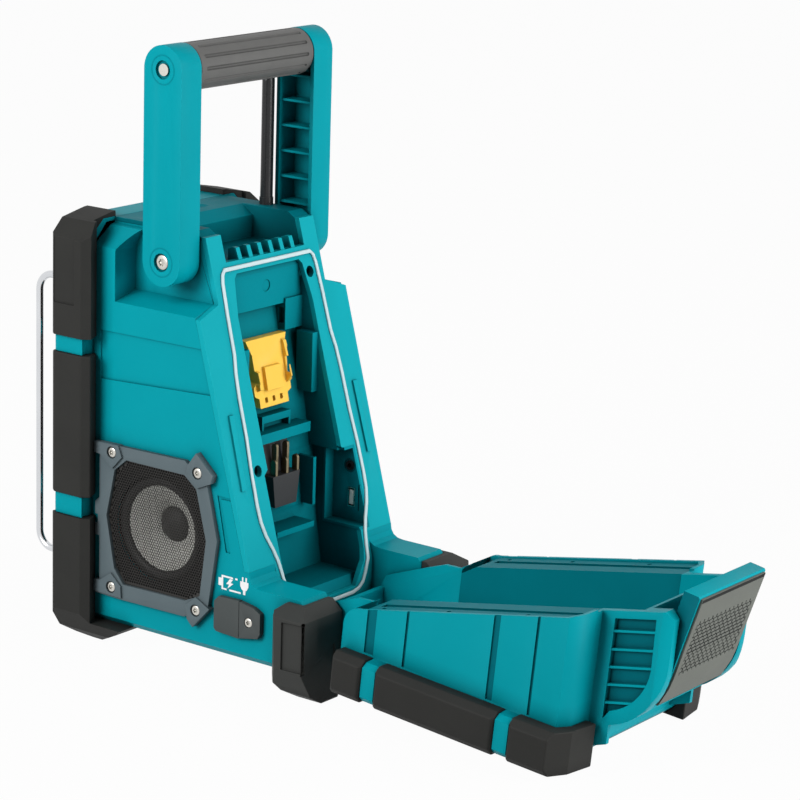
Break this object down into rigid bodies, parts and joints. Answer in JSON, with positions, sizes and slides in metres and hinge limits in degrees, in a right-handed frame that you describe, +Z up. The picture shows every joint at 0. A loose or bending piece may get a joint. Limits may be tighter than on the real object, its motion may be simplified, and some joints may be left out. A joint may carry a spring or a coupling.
{
  "type": "jobsite radio",
  "caption": "Rugged jobsite radio in teal and dark grey, seen with its battery door lowered and its carry handle upright.",
  "frame": {"origin": "middle of the footprint with the battery door lowered, on the ground", "axes": "+X across the radio from one speaker to the other, -Y towards the controls, +Y towards the battery door, +Z up"},
  "size_m": [0.186, 0.5139, 0.4224],
  "materials": {
    "shell": "satin",
    "gasket": "satin",
    "bumper": "matte",
    "guard": "satin",
    "frame": "satin",
    "mesh": "satin",
    "basket": "satin",
    "cone": "matte",
    "steel": "satin",
    "yellow": "satin",
    "terminal": "satin",
    "blades": "satin",
    "antenna": "satin",
    "board": "satin",
    "panel": "satin",
    "lens": "polished",
    "display": "satin",
    "grip": "matte",
    "pad": "matte"
  },
  "bodies": {
    "case": {"main_housing": "shell", "front_housing": "shell", "rear_bezel": "shell", "battery_bay": "shell", "bezel_gasket": "gasket", "top_cover": "shell", "bumper_top_left": "bumper", "bumper_top_right": "bumper", "bumper_middle_left": "bumper", "bumper_middle_right": "bumper", "bumper_foot_left": "bumper", "bumper_foot_right": "bumper", "rear_foot_left": "bumper", "rear_foot_right": "bumper", "guard_bar_left": "guard", "guard_bar_right": "guard", "speaker_frame_left": "frame", "speaker_frame_right": "frame", "speaker_mesh_left": "mesh", "speaker_mesh_right": "mesh", "speaker_basket_left": "basket", "speaker_basket_right": "basket", "speaker_cone_left": "cone", "speaker_cone_right": "cone", "case_screws": "steel", "slide_terminal": "yellow", "blade_terminal": "terminal", "contact_blades": "blades", "aux_jack": "terminal", "usb_socket": "steel", "dc_socket": "terminal", "dc_clamp": "bumper", "antenna": "antenna", "main_board": "board", "control_panel": "panel", "display_lens": "lens", "display_module": "display", "door_hinge_pins": "steel", "handle_pivots": "steel"},
    "handle": {"handle_arm_left": "shell", "handle_arm_right": "shell", "handle_grip": "grip", "grip_tie_rod": "steel"},
    "door": {"battery_door": "shell", "door_liner": "shell", "door_bumper_low_left": "bumper", "door_bumper_low_right": "bumper", "door_bumper_side_left": "bumper", "door_bumper_side_right": "bumper", "door_bumper_corner_left": "bumper", "door_bumper_corner_right": "bumper", "latch_pin": "steel"},
    "latch": {"latch_lever": "shell", "latch_pad": "pad"},
    "dc_flap": {"dc_flap": "bumper"},
    "knob": {"tuning_knob": "panel"},
    "power": {"power_button": "panel"},
    "source": {"source_button": "panel"},
    "preset_down": {"preset_button_down": "panel"},
    "preset_up": {"preset_button_up": "panel"}
  },
  "joints": [
    {"name": "handle_fold", "type": "hinge", "parent": "case", "child": "handle", "pos_m": [0, -0.145, 0.2782], "axis": [-1, 0, 0], "range_deg": [0, 90]},
    {"name": "door_swing", "type": "hinge", "parent": "case", "child": "door", "pos_m": [0, -0.022, 0.0365], "axis": [1, 0, 0], "range_deg": [0, 95]},
    {"name": "latch_swing", "type": "hinge", "parent": "door", "child": "latch", "pos_m": [0, 0.22447, 0.05409], "axis": [1, 0, 0], "range_deg": [0, 13]},
    {"name": "dc_flap_swing", "type": "hinge", "parent": "case", "child": "dc_flap", "pos_m": [0.082, -0.0707, 0.047], "axis": [0, 0, 1], "range_deg": [0, 110], "stiffness_Nm_per_rad": 0.004},
    {"name": "tuning_turn", "type": "hinge", "parent": "case", "child": "knob", "pos_m": [0, -0.2285, 0.147], "axis": [0, 1, 0], "continuous": true},
    {"name": "power_press", "type": "slide", "parent": "case", "child": "power", "axis": [0, 1, 0], "range_m": [0, 0.0015], "stiffness_N_per_m": 300},
    {"name": "source_press", "type": "slide", "parent": "case", "child": "source", "axis": [0, 1, 0], "range_m": [0, 0.0015], "stiffness_N_per_m": 300},
    {"name": "preset_down_press", "type": "slide", "parent": "case", "child": "preset_down", "axis": [0, 1, 0], "range_m": [0, 0.0015], "stiffness_N_per_m": 300},
    {"name": "preset_up_press", "type": "slide", "parent": "case", "child": "preset_up", "axis": [0, 1, 0], "range_m": [0, 0.0015], "stiffness_N_per_m": 300}
  ]
}
